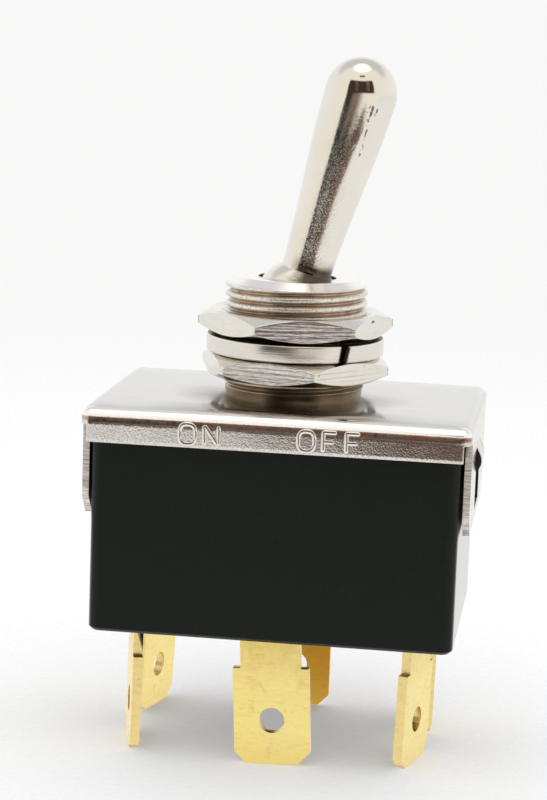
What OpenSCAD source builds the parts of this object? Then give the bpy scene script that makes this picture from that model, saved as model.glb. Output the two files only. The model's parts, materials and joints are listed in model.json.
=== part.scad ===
// Panel toggle switch: bat lever, threaded bushing, two poles, six blade terminals.
// Origin: on the bushing axis, in the plane of the blade tips. +Z up, +X lever throw, +Y back.

/* [Case] */
// Case length along X
body_w = 30; // [29:0.5:32]
// Case depth along Y
body_d = 21.8; // [21.6:0.2:23]
// Height of the case floor above the blade tips
body_z = 10.8; // [10.6:0.1:11.2]
// Radius of the upright case corners
body_r = 1.0; // [0.6:0.1:1.2]
// Case wall thickness
wall = 1.3; // [1.2:0.05:1.35]

/* [Cover] */
// Height of the cover's top face
cover_z = 29.5; // [29.5:0.1:29.8]
// Sheet thickness of the cover
sheet = 0.55; // [0.5:0.05:0.6]
// Height of the front and back flanges
flange_h = 2.8; // [2.4:0.1:3.4]
// Height of the side ears
ear_h = 9.2; // [8.6:0.1:9.6]

/* [Bushing] */
// Outer radius of the bushing thread
thread_r = 5.93; // [5.9:0.01:5.95]
// Height of the bushing's top rim
rim_z = 39.6; // [39.6:0.1:39.8]
// Half width of the nuts across flats
nut_af2 = 7.15; // [7:0.05:7.4]
// Thickness of each nut
nut_t = 1.95; // [1.8:0.05:2]

/* [Lever] */
// Height of the lever's pivot
pivot_z = 37.4; // [37.4:0.05:37.5]
// Lean of the lever at rest, in degrees
lean = 15; // [14:0.5:15]
// Distance from the pivot to the centre of the bat end
bat_l = 18.2; // [16:0.1:20]
// Radius of the bat end
bat_r = 3.0; // [2.6:0.05:3.1]

/* [Terminals] */
// Width of a blade
blade_w = 6.3; // [6.2:0.05:6.4]
// Blade thickness
blade_t = 0.8; // [0.75:0.05:0.8]
// Height of the blade's wide part
blade_h = 8.1; // [7.6:0.1:8.4]
// Width of the blade's neck
neck_w = 5.0; // [4.6:0.1:5]
// Distance of the centre blades from the middle
row_y = 8.8; // [8.7:0.05:8.85]
// Distance of the end blades from the middle, along X
end_x = 11.85; // [11.8:0.05:11.9]
// Distance of the end blades from the middle, along Y
end_y = 5.3; // [5.2:0.05:5.4]
// Angle of the end blades, in degrees
end_a = 15; // [13:0.5:16]

/* [Hidden] */
$fn = 64;
hw = body_w / 2;
hd = body_d / 2;
body_top = cover_z - 0.9;
ci = cover_z - sheet;          // cover's inner top face
cx = hw + 0.8;                 // cover's outer half length
cy = hd + 0.65;                // cover's outer half depth
floor_z = body_z + 2;
axis_z = 17.8;                 // fulcrum axis of the rocking contacts
pole_y = 4.7;
rock = 7.5;                    // tilt of the rocking contacts at rest
low_z = 31.28;                 // underside of the lower nut
wash_z = low_z + nut_t + 0.05; // underside of the lock washer
wash_t = 1.3;
up_z = wash_z + wash_t + 0.3;  // underside of the upper nut
ball_r = 3.6;
plunge = 16.8;                 // pivot to centre of plunger tip

module nickel() color([0.80, 0.78, 0.74]) children();
module brass() color([0.86, 0.66, 0.30]) children();
module silver() color([0.85, 0.85, 0.83]) children();
module phenolic() color([0.10, 0.11, 0.11]) children();
module nylon() color([0.86, 0.84, 0.78]) children();

// prism of a profile in X and Z, centred on Y
module xz(w) rotate([90, 0, 0]) translate([0, 0, -w / 2]) linear_extrude(w) children();
// prism of a profile in Y and Z, centred on X
module yz(w) rotate([90, 0, 90]) translate([0, 0, -w / 2]) linear_extrude(w) children();
module block(a, b) translate(a) cube(b - a);

// box with round upright corners and a chamfered bottom edge
module case_block(x, y, z0, z1, r, c) {
  yz(2 * (x - r)) polygon([[-y + c, z0], [y - c, z0], [y, z0 + c], [y, z1], [-y, z1], [-y, z0 + c]]);
  xz(2 * (y - r)) polygon([[-x + c, z0], [x - c, z0], [x, z0 + c], [x, z1], [-x, z1], [-x, z0 + c]]);
  for (i = [-1, 1], j = [-1, 1]) translate([i * (x - r), j * (y - r), z0]) {
    cylinder(h = c, r1 = r - c, r2 = r);
    translate([0, 0, c]) cylinder(h = z1 - z0 - c, r = r);
  }
}

// place of an end terminal: i is the side along X, j the side along Y
module end_place(i, j) translate([i * end_x, j * end_y, 0]) rotate([0, 0, i * j * end_a]) children();

module base_body() phenolic() {
  difference() {
    case_block(hw, hd, body_z, body_top, body_r, 0.3);
    block([-hw + 1.6, -hd + wall, floor_z], [hw - 1.6, hd - wall, body_top + 1]);
    // slots for the terminals
    for (j = [-1, 1]) block([-neck_w / 2, j * row_y - blade_t / 2, body_z - 1], [neck_w / 2, j * row_y + blade_t / 2, floor_z + 1]);
    for (i = [-1, 1], j = [-1, 1]) end_place(i, j)
      block([-blade_t / 2, -neck_w / 2, body_z - 1], [blade_t / 2, neck_w / 2, floor_z + 1]);
    // pockets that the cover's tongues snap into
    for (i = [-1, 1]) block([i * (hw - 0.4) - 0.5, -3, 21], [i * (hw - 0.4) + 0.5, 3, 26.2]);
  }
  // partition between the poles, with a rib on the floor under each contact arm
  block([-hw + 1.6, -0.8, floor_z], [hw - 1.6, 0.8, 19.5]);
  for (j = [-1, 1]) block([-2, j * 4.9 - 2, floor_z], [2, j * 4.9 + 2, 13.6]);
}

// one side ear with its window and the lanced tongue bowed out of it
module ear() {
  difference() {
    union() {
      block([cx - sheet, -hd + 0.9, cover_z - ear_h + 1.6], [cx, hd - 0.9, cover_z - 0.9]);
      yz_ear();
    }
    block([cx - 2, -2.6, 21.2], [cx + 1, 2.6, 26.4]);
  }
  // tongue: down from the window's top edge, bowed outward, then in to the case pocket
  xz(4.6) polygon([[cx - sheet, 26.4], [cx, 26.4], [cx + 0.42, 25.5], [cx + 0.30, 24.7], [cx - 0.75, 23.6],
    [cx - 1.15, 23.9], [cx - 0.22, 24.95], [cx - 0.12, 25.4]]);
}
module yz_ear() translate([cx - sheet / 2, 0, 0]) yz(sheet)
  polygon([[-hd + 0.9, cover_z - ear_h + 1.6], [-hd + 2.3, cover_z - ear_h], [hd - 2.9, cover_z - ear_h], [hd - 0.9, cover_z - ear_h + 2.2],
    [hd - 0.9, cover_z - ear_h + 2.6], [-hd + 0.9, cover_z - ear_h + 2.6]]);

module bend(l, r) rotate([90, 0, 0]) translate([0, 0, -l / 2]) difference() {
  intersection() { cylinder(h = l, r = r); cube([r + 1, r + 1, l]); }
  translate([0, 0, -1]) cylinder(h = l + 2, r = r - sheet);
}

module cover_frame() nickel() {
  difference() {
    union() {
      block([-cx + 0.9, -cy + 0.9, ci], [cx - 0.9, cy - 0.9, cover_z]);
      // front and back bends and flanges
      for (j = [0, 180]) rotate([0, 0, j]) {
        translate([0, -cy + 0.9, cover_z - 0.9]) rotate([0, 0, -90]) bend(2 * (cx - 0.9), 0.9);
        block([-hw - 0.3, -cy, cover_z - flange_h], [hw + 0.3, -cy + sheet, cover_z - 0.9]);
        block([-cx + 0.9, -cy, cover_z - 1.3], [cx - 0.9, -cy + sheet, cover_z - 0.9]);
      }
      // side bends
      for (i = [0, 180]) rotate([0, 0, i]) translate([cx - 0.9, 0, cover_z - 0.9]) bend(2 * (hd - 0.9), 0.9);
    }
    translate([0, 0, ci - 1]) cylinder(h = 3, r = 5.0);
  }
  ear();
  mirror([1, 0, 0]) ear();
}

module bushing() nickel() difference() {
  union() {
    translate([0, 0, ci - 0.6]) cylinder(h = cover_z - ci + 0.7, r = 5.0);
    translate([0, 0, cover_z]) cylinder(h = 1.2, r = 5.75);
    translate([0, 0, cover_z + 1.2]) cylinder(h = rim_z - 0.5 - cover_z - 1.2, r = thread_r);
    translate([0, 0, rim_z - 0.5]) cylinder(h = 0.5, r1 = thread_r, r2 = 4.98);
  }
  // ring groove between the nuts' stretch of thread and the free stretch
  translate([0, 0, up_z + nut_t + 0.02]) difference() {
    cylinder(h = 0.62, r = thread_r + 1);
    translate([0, 0, -1]) cylinder(h = 3, r = 5.45);
  }
  // mouth, ball socket, and the widening below it
  translate([0, 0, pivot_z]) sphere(r = ball_r + 0.07);
  translate([0, 0, pivot_z]) cylinder(h = 4, r = 3.05);
  translate([0, 0, 20]) cylinder(h = pivot_z - 20, r = ball_r + 0.07);
  translate([0, 0, 20]) cylinder(h = 13.4, r = 4.15);
  // slots that hold the ends of the pin
  for (j = [-1, 1]) block([-0.72, j * 4 - 0.75, 33.2], [0.72, j * 4 + 0.75, pivot_z]);
  translate([0, 0, pivot_z]) rotate([90, 0, 0]) cylinder(h = 9.5, r = 0.72, center = true);
}

module bushing_washer() nickel() difference() {
  translate([0, 0, ci - 0.6]) cylinder(h = 0.6, r = 7.4);
  translate([0, 0, ci - 1]) cylinder(h = 2, r = 5.0);
}

module retainer_ring() brass() difference() {
  translate([0, 0, 32.4]) cylinder(h = 1.0, r = 4.15);
  translate([0, 0, 32]) cylinder(h = 2, r = 3.2);
}

module insulating_sheet() color([0.30, 0.19, 0.13]) difference() {
  block([-hw + 0.3, -hd + 0.3, body_top], [hw - 0.3, hd - 0.3, body_top + 0.25]);
  translate([0, 0, body_top - 1]) cylinder(h = 3, r = 7.6);
}

// place of the lever's own frame: origin at the pivot, +Z along the bat
module lever_place() translate([0, 0, pivot_z]) rotate([0, lean, 0]) children();

module lever() nickel() lever_place() difference() {
  union() {
    sphere(r = ball_r);
    rotate_extrude() polygon([[0, 0], [2.12, 0], [2.12, 2.8], [2.22, 5.5], [2.42, 8.5], [2.70, 12], [2.90, 15], [bat_r, bat_l - 0.6], [bat_r, bat_l], [0, bat_l]]);
    translate([0, 0, bat_l]) sphere(r = bat_r);
    translate([0, 0, -12.4]) cylinder(h = 12.4, r = 1.2);
    translate([0, 0, -5.2]) cylinder(h = 5.2, r1 = 1.2, r2 = 2.4);
  }
  rotate([90, 0, 0]) cylinder(h = 20, r = 0.62, center = true);
}

module pivot_pin() color([0.62, 0.62, 0.62]) translate([0, 0, pivot_z]) rotate([90, 0, 0]) cylinder(h = 9.1, r = 0.62, center = true);

module plunger_carrier() nylon() lever_place() difference() {
  union() {
    block([-2.5, -6.9, -15.3], [2.5, 6.9, -11.4]);
    translate([0, 0, -11.4]) cylinder(h = 0.9, r = 2.3);
    for (j = [-1, 1]) translate([0, j * pole_y, -11.4]) cylinder(h = 0.5, r = 2.0);
  }
  translate([0, 0, -12.4]) cylinder(h = 4, r = 1.2);
  for (j = [-1, 1]) translate([0, j * pole_y, -16]) cylinder(h = 4.3, r = 1.26);
}

module plunger(j) color([0.70, 0.70, 0.72]) lever_place() translate([0, j * pole_y, -plunge]) {
  sphere(r = 1.2);
  cylinder(h = 2.7, r = 1.2);
}
module plunger_front() plunger(-1);
module plunger_back() plunger(1);

// close-wound compression spring behind a plunger
module spring(j) color([0.66, 0.67, 0.70]) lever_place() translate([0, j * pole_y, -plunge + 2.93])
  for (k = [0 : 4]) translate([0, 0, 0.2 + k * 0.4]) rotate_extrude() translate([0.9, 0]) circle(r = 0.22, $fn = 24);
module spring_front() spring(-1);
module spring_back() spring(1);

module rocker_place(j) translate([0, j * pole_y, axis_z]) rotate([0, -rock, 0]) children();

// rocking contact: curved trough that the plunger rides in, saddle on the fulcrum, and two flat arms
module rocker(j) brass() rocker_place(j) {
  difference() {
    intersection() {
      translate([0, 0, 9.55]) rotate([90, 0, 0]) cylinder(h = 4.4, r = 8.75, center = true);
      block([-4.6, -2.2, 0], [4.6, 2.2, 3.6]);
    }
    translate([0, 0, 9.55]) rotate([90, 0, 0]) cylinder(h = 6, r = 8, center = true);
    rotate([90, 0, 0]) cylinder(h = 6, r = 0.87, center = true);
  }
  difference() {
    rotate([90, 0, 0]) cylinder(h = 3.4, r = 1.5, center = true);
    rotate([90, 0, 0]) cylinder(h = 6, r = 0.87, center = true);
    block([-3, -4, -3], [3, 4, 0]);
  }
  for (m = [0, 1]) mirror([m, 0, 0])
    xz(4.4) polygon([[4.2, 2.02], [4.6, 2.35], [4.6, 3.0], [5.3, 2.6], [7.6, 0.75], [11.4, 0.75], [11.4, 0.1], [7.3, 0.1], [4.9, 1.95]]);
}
module rocker_front() rocker(-1);
module rocker_back() rocker(1);

module rocker_contacts(j) silver() rocker_place(j)
  for (i = [-1, 1]) translate([i * 9.55, 0, -0.5]) cylinder(h = 0.6, r = 1.5);
module rocker_contacts_front() rocker_contacts(-1);
module rocker_contacts_back() rocker_contacts(1);

// blade outline from the tip up to z = top, with corners cut at the tip
module blade_shape(top) difference() {
  polygon([[-blade_w / 2 + 1, 0], [blade_w / 2 - 1, 0], [blade_w / 2, 1], [blade_w / 2, blade_h], [neck_w / 2, blade_h],
    [neck_w / 2, top], [-neck_w / 2, top], [-neck_w / 2, blade_h], [-blade_w / 2, blade_h], [-blade_w / 2, 1]]);
  translate([0, 3.7]) circle(r = 1.07);
}

// centre terminal; tilt leans its outer blade in its own plane
module centre_terminal(j, tilt) brass() translate([0, j * row_y, 0]) {
  translate([0, 0, body_z]) rotate([0, -tilt, 0]) translate([0, 0, -body_z + abs(sin(tilt)) * 2.15])
    difference() { xz(blade_t) blade_shape(body_z); }
  block([-neck_w / 2, -blade_t / 2, body_z - 0.2], [neck_w / 2, blade_t / 2, 14.4]);
  scale([1, -j, 1]) {
    block([-2, -blade_t / 2, 13.6], [2, row_y - 2.9, 14.4]);
    translate([0, row_y - pole_y, 0]) {
      block([-0.6, -1.6, 14.4], [0.6, 1.6, axis_z]);
      translate([0, 0, axis_z]) rotate([90, 0, 0]) cylinder(h = 3.2, r = 0.8, center = true);
    }
  }
}
module terminal_centre_front() centre_terminal(-1, 3);
module terminal_centre_back() centre_terminal(1, 0);

// end terminal; splay leans its outer blade square to its own plane
module end_terminal(i, j, splay) brass() end_place(i, j) {
  translate([0, 0, body_z]) rotate([0, splay, 0]) translate([0, 0, -body_z])
    difference() { yz(blade_t) blade_shape(body_z); }
  block([-blade_t / 2, -neck_w / 2, body_z - 0.3], [blade_t / 2, neck_w / 2, 15.4]);
  block([i > 0 ? -4.0 : -blade_t / 2, -1.9, 14.6], [i > 0 ? blade_t / 2 : 4.0, 1.9, 15.4]);
}
module terminal_front_left() end_terminal(-1, -1, 1);
module terminal_front_right() end_terminal(1, -1, 1.5);
module terminal_back_left() end_terminal(-1, 1, 3);
module terminal_back_right() end_terminal(1, 1, 1);

module fixed_contacts(j) silver()
  for (i = [-1, 1]) end_place(i, j) translate([-i * 2.4, 0, 15.4]) cylinder(h = 0.35, r = 1.45);
module fixed_contacts_front() fixed_contacts(-1);
module fixed_contacts_back() fixed_contacts(1);

// hexagonal nut whose corners are turned off at both faces
module nut(z, turn) translate([0, 0, z]) rotate([0, 0, turn]) difference() {
  intersection() {
    cylinder(h = nut_t, r = nut_af2 / cos(30), $fn = 6);
    union() {
      cylinder(h = nut_t / 2, r1 = nut_af2 - 0.15, r2 = nut_af2 / cos(30) + 0.55);
      translate([0, 0, nut_t / 2]) cylinder(h = nut_t / 2, r1 = nut_af2 / cos(30) + 0.55, r2 = nut_af2 - 0.15);
    }
  }
  translate([0, 0, -1]) cylinder(h = nut_t + 2, r = thread_r + 0.06);
}
module upper_nut() nickel() nut(up_z, 13.5);
module lower_nut() nickel() nut(low_z, -11);

module lock_washer() nickel() difference() {
  translate([0, 0, wash_z]) cylinder(h = wash_t, r = 7.45);
  translate([0, 0, wash_z - 1]) cylinder(h = wash_t + 2, r = thread_r + 0.1);
  // the split, cut on a slant
  translate([0, 0, wash_z + wash_t / 2]) rotate([0, 0, -50]) translate([6.7, 0, 0]) rotate([20, 0, 0]) cube([4, 0.75, 4], center = true);
}

base_body();
cover_frame();
bushing();
bushing_washer();
retainer_ring();
insulating_sheet();
lever();
pivot_pin();
plunger_carrier();
plunger_front();
plunger_back();
spring_front();
spring_back();
rocker_front();
rocker_back();
rocker_contacts_front();
rocker_contacts_back();
terminal_centre_front();
terminal_centre_back();
terminal_front_left();
terminal_front_right();
terminal_back_left();
terminal_back_right();
fixed_contacts_front();
fixed_contacts_back();
upper_nut();
lock_washer();
lower_nut();
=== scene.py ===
import json
import math

import bmesh
import bpy
import numpy as np
from mathutils import Matrix, Vector

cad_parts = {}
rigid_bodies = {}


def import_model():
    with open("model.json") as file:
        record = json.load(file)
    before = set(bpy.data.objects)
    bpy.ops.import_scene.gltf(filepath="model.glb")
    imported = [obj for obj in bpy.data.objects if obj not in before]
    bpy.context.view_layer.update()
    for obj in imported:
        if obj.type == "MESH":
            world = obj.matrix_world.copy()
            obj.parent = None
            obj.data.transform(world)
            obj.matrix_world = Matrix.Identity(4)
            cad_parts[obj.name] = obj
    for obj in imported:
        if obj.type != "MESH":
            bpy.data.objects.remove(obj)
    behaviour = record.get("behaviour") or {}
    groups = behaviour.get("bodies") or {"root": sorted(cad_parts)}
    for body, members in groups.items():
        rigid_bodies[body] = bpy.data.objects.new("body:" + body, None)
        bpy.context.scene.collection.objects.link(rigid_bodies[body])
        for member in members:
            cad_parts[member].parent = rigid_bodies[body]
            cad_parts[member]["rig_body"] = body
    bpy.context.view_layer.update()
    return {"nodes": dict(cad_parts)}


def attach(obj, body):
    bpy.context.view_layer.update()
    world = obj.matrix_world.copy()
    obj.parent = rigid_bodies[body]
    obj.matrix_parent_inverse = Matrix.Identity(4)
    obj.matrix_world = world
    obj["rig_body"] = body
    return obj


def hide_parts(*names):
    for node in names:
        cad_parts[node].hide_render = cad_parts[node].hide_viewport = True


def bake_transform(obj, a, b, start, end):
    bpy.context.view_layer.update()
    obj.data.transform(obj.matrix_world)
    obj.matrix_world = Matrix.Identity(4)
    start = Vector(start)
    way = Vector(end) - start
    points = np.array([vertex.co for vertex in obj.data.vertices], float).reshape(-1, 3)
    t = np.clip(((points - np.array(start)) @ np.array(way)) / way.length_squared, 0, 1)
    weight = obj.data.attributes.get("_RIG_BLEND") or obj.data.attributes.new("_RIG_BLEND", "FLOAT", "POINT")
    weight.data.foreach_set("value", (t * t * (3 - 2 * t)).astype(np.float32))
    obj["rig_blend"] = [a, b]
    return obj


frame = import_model()
NODES = frame["nodes"]
S = 0.001
PI = math.pi

# ---------------------------------------------------------------- sizes, in mm, as in the CAD
HW, HD, BODY_Z, BODY_TOP = 15.0, 10.9, 10.8, 28.6
COVER_Z, SHEET = 29.5, 0.55
CI = COVER_Z - SHEET
CX, CY = HW + 0.8, HD + 0.65
THREAD_R, PITCH, RIM_Z = 5.93, 0.79375, 39.6
AF2, NUT_T = 7.15, 1.95
LOW_Z = 31.28
WASH_Z, WASH_T = LOW_Z + NUT_T + 0.05, 1.3
UP_Z = WASH_Z + WASH_T + 0.3
PIVOT_Z, LEAN, BALL_R = 37.4, math.radians(15), 3.6
BAT_L, BAT_R = 18.2, 3.0


# ================================================================ node helpers
class Mat:
    """Small builder for node materials."""

    def __init__(self, name):
        self.m = bpy.data.materials.new(name)
        self.m.use_nodes = True
        self.t = self.m.node_tree
        self.t.nodes.clear()
        self.out = self.t.nodes.new("ShaderNodeOutputMaterial")
        self.b = self.t.nodes.new("ShaderNodeBsdfPrincipled")
        self.t.links.new(self.b.outputs[0], self.out.inputs[0])
        tc = self.t.nodes.new("ShaderNodeTexCoord")
        self.co = tc.outputs["Object"]

    def set(self, **kw):
        for k, v in kw.items():
            s = self.b.inputs[k.replace("_", " ")]
            if isinstance(v, bpy.types.NodeSocket):
                self.t.links.new(v, s)
            else:
                s.default_value = v
        return self

    def node(self, kind, ins=None, **props):
        n = self.t.nodes.new(kind)
        for k, v in props.items():
            setattr(n, k, v)
        for k, v in (ins or {}).items():
            s = n.inputs[k]
            if isinstance(v, bpy.types.NodeSocket):
                self.t.links.new(v, s)
            else:
                s.default_value = v
        return n

    def mapped(self, scale=(1, 1, 1), rot=(0, 0, 0), loc=(0, 0, 0), co=None):
        n = self.node("ShaderNodeMapping", {0: co or self.co})
        n.inputs["Scale"].default_value = scale
        n.inputs["Rotation"].default_value = rot
        n.inputs["Location"].default_value = loc
        return n.outputs[0]

    def noise(self, scale, detail=3.0, rough=0.55, co=None, distortion=0.0):
        n = self.node("ShaderNodeTexNoise", {"Vector": co or self.co, "Scale": scale, "Detail": detail,
                                             "Roughness": rough, "Distortion": distortion})
        return n.outputs["Fac"]

    def voronoi(self, scale, co=None, feature="F1", rand=1.0):
        n = self.node("ShaderNodeTexVoronoi", {"Vector": co or self.co, "Scale": scale, "Randomness": rand},
                      feature=feature)
        return n.outputs["Distance"]

    def ramp(self, fac, stops, interp="LINEAR"):
        n = self.node("ShaderNodeValToRGB", {0: fac})
        r = n.color_ramp
        r.interpolation = interp
        while len(r.elements) > len(stops):
            r.elements.remove(r.elements[-1])
        while len(r.elements) < len(stops):
            r.elements.new(0.5)
        for e, (p, c) in zip(r.elements, stops):
            e.position = p
            e.color = (c, c, c, 1) if isinstance(c, (int, float)) else (*c, 1)
        return n.outputs[0]

    def maprange(self, v, a, b, c, d):
        return self.node("ShaderNodeMapRange", {0: v, 1: a, 2: b, 3: c, 4: d}).outputs[0]

    def math(self, op, a, b=0.0, c=None):
        ins = {0: a, 1: b}
        if c is not None:
            ins[2] = c
        return self.node("ShaderNodeMath", ins, operation=op).outputs[0]

    def mix(self, fac, a, b, blend="MIX"):
        n = self.t.nodes.new("ShaderNodeMix")
        n.data_type = "RGBA"
        n.blend_type = blend
        for sock, v in ((n.inputs[0], fac), (n.inputs[6], a), (n.inputs[7], b)):
            if isinstance(v, bpy.types.NodeSocket):
                self.t.links.new(v, sock)
            elif isinstance(v, (int, float)):
                sock.default_value = v
            else:
                sock.default_value = (*v, 1)
        return n.outputs[2]

    def sep(self, co=None):
        n = self.node("ShaderNodeSeparateXYZ", {0: co or self.co})
        return n.outputs

    def bump(self, height, strength, dist, normal=None):
        ins = {"Strength": strength, "Distance": dist * S, "Height": height}
        if normal is not None:
            ins["Normal"] = normal
        return self.node("ShaderNodeBump", ins).outputs[0]


def metal(name, lo, hi, rough=(0.1, 0.2), grain=0.25, grain_size=2600, orange=0.0, orange_size=900,
          wave=0.0, pits=0.0, tarnish=None, tarnish_amt=0.0, scratch=0.0, scratch_co=None, aniso=0.0):
    """Plated or bare metal: broad colour drift, cloudy gloss, fine grain, orange peel, waviness, pits and hairlines."""
    m = Mat(name)
    n1 = m.noise(260, 4)
    col = m.mix(n1, lo, hi)
    if tarnish is not None:
        n2 = m.noise(520, 5, 0.65, distortion=0.6)
        f = m.ramp(n2, [(0.50, 0.0), (0.74, tarnish_amt)])
        col = m.mix(f, col, tarnish)
    n3 = m.noise(900, 4, 0.6)
    rgh = m.maprange(n3, 0.3, 0.7, rough[0], rough[1])
    h = m.bump(m.noise(grain_size, 2, 0.5), grain, 0.01)
    if orange:
        h = m.bump(m.noise(orange_size, 2, 0.45), orange, 0.03, h)
    if wave:
        h = m.bump(m.noise(230, 1, 0.4), wave, 0.3, h)
    if scratch:
        sc = m.noise(1.0, 3, 0.6, co=scratch_co)
        h = m.bump(sc, scratch, 0.02, h)
        rgh = m.math("ADD", rgh, m.maprange(sc, 0.35, 0.65, -0.03, 0.05))
    if pits:
        v = m.voronoi(1100)
        sel = m.ramp(m.noise(700, 1), [(0.60, 0.0), (0.63, 1.0)])
        p = m.math("MULTIPLY", m.ramp(v, [(0.05, 1.0), (0.16, 0.0)]), sel)
        col = m.mix(m.math("MULTIPLY", p, pits), col, (0.10, 0.085, 0.07))
        h = m.bump(m.math("SUBTRACT", 1.0, p), 0.5 * pits, 0.04, h)
    m.set(Base_Color=col, Metallic=1.0, Roughness=rgh, Normal=h)
    if aniso:
        m.b.inputs["Anisotropic"].default_value = aniso
    return m


# ================================================================ materials
M = {}
NI_LO, NI_HI = (0.76, 0.715, 0.635), (0.86, 0.83, 0.775)


def lever_metal():
    m = Mat("nickel_lever")
    n1 = m.noise(260, 4)
    col = m.mix(n1, NI_LO, NI_HI)
    x, y, z = m.sep()[:3]
    t = math.radians(15)
    dz = m.math("SUBTRACT", z, PIVOT_Z * S)
    u = m.math("SUBTRACT", m.math("MULTIPLY", x, math.cos(t)), m.math("MULTIPLY", dz, math.sin(t)))     # across the bat
    w = m.math("ADD", m.math("MULTIPLY", x, math.sin(t)), m.math("MULTIPLY", dz, math.cos(t)))          # along the bat
    front = m.math("LESS_THAN", y, -0.0008)
    dust = m.noise(6000, 2, 0.7)
    amt = m.math("MULTIPLY", m.maprange(u, -0.00115, -0.0004, 0.10, 1.0), m.maprange(u, 0.0004, 0.0016, 1.0, 0.30))
    amt = m.math("MULTIPLY", amt, m.ramp(m.noise(380, 3, 0.6), [(0.30, 0.45), (0.62, 1.0)]))
    amt = m.math("MULTIPLY", amt, m.maprange(w, 0.0172, 0.0188, 1.0, 0.1))
    h = m.bump(dust, m.math("MULTIPLY", amt, 0.45), 0.010)
    h = m.bump(m.noise(3800, 2, 0.7), m.math("MULTIPLY", amt, 0.25), 0.012, h)
    h = m.bump(m.noise(300, 1, 0.4), 0.04, 0.25, h)
    rgh = m.maprange(m.noise(900, 4, 0.6), 0.3, 0.7, 0.06, 0.12)
    # fine dull specks over the front of the bat, thinning out to the right
    dots = m.ramp(m.noise(9000, 2, 0.65), [(0.50, 0.0), (0.60, 1.0)])
    thin = m.math("MULTIPLY", m.maprange(u, -0.0016, -0.0010, 0.0, 1.0), m.maprange(u, 0.0002, 0.0015, 1.0, 0.0))
    thin = m.math("MULTIPLY", m.math("MULTIPLY", thin, front), m.maprange(w, 0.0165, 0.0178, 1.0, 0.0))
    fade = m.maprange(w, 0.0050, 0.0150, 0.25, 0.16)
    rgh = m.math("ADD", rgh, m.math("MULTIPLY", m.math("MULTIPLY", thin, dots), fade))
    dark_dots = m.math("MULTIPLY", m.ramp(m.noise(7600, 2, 0.65), [(0.54, 0.0), (0.64, 0.7)]),
                       m.math("MULTIPLY", thin, m.maprange(u, -0.0004, 0.0003, 0.0, 1.0)))
    col = m.mix(dark_dots, col, (0.16, 0.14, 0.12))
    # short scratches and a run of pits on the right-hand side, nearly in line with the bat
    warp = m.math("MULTIPLY", m.math("SUBTRACT", m.noise(900, 2, 0.6), 0.5), 0.0009)
    uu = m.math("ADD", u, warp)
    spots = None
    for u0, w0, w1, r0 in ((1.35, 16.4, 17.6, 0.13), (1.78, 16.6, 17.5, 0.11), (1.05, 17.1, 17.6, 0.07), (1.50, 13.4, 15.9, 0.075),
                           (1.00, 13.8, 14.2, 0.07), (1.22, 15.3, 15.7, 0.06)):
        du = m.math("ABSOLUTE", m.math("SUBTRACT", uu, u0 * S))
        dw = m.math("MAXIMUM", m.math("SUBTRACT", w0 * S, w), m.math("SUBTRACT", w, w1 * S))
        d = m.math("MAXIMUM", du, dw)
        k = m.maprange(d, r0 * S, 0.4 * r0 * S, 0.0, 1.0)
        spots = k if spots is None else m.math("MAXIMUM", spots, k)
    broken = m.ramp(m.noise(3300, 2, 0.6), [(0.44, 0.0), (0.52, 1.0)])
    pit = m.math("MULTIPLY", m.math("MULTIPLY", spots, broken), front)
    col = m.mix(m.math("MULTIPLY", pit, 0.9), col, (0.10, 0.065, 0.04))
    # two small dull red spots on the head, a painted reflection
    painted_red_spots = None
    for u0, w0 in ((-0.215, 18.80), (0.62, 19.06)):
        dw = m.math("SUBTRACT", w, w0 * S)
        du = m.math("ABSOLUTE", m.math("ADD", m.math("SUBTRACT", u, u0 * S), m.math("MULTIPLY", dw, 0.34)))
        k = m.math("MULTIPLY", m.maprange(du, 0.00018, 0.00010, 0.0, 1.0), m.maprange(m.math("ABSOLUTE", dw), 0.00036, 0.00024, 0.0, 1.0))
        painted_red_spots = k if painted_red_spots is None else m.math("MAXIMUM", painted_red_spots, k)
    painted_red_spots = m.math("MULTIPLY", m.math("MULTIPLY", painted_red_spots, front), m.ramp(m.noise(4200, 2, 0.6), [(0.35, 0.45), (0.55, 1.0)]))
    col = m.mix(painted_red_spots, col, (0.42, 0.14, 0.095))
    rgh = m.math("ADD", rgh, m.math("MULTIPLY", painted_red_spots, 0.40))
    # painted shade and dark reflection where the bat runs down into the ball, darkest in a band on its right-hand side
    base = m.math("MULTIPLY", m.maprange(w, 0.0044, 0.0034, 0.0, 1.0), m.maprange(u, -0.0013, -0.0006, 0.0, 1.0))
    base = m.math("MULTIPLY", base, m.ramp(m.noise(1400, 3, 0.7), [(0.30, 0.35), (0.62, 1.0)]))
    rim_ = m.math("MULTIPLY", m.maprange(w, 0.00375, 0.0033, 0.0, 1.0), m.maprange(u, -0.0006, 0.0002, 0.0, 1.0))
    col = m.mix(m.math("MULTIPLY", base, 0.72), col, (0.17, 0.125, 0.07))
    col = m.mix(m.math("MULTIPLY", rim_, 0.9), col, (0.055, 0.042, 0.028))
    h = m.bump(m.math("SUBTRACT", 1.0, pit), 0.6, 0.03, h)
    m.set(Base_Color=col, Metallic=1.0, Roughness=rgh, Normal=h)
    return m


M["lever"] = lever_metal()


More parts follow.
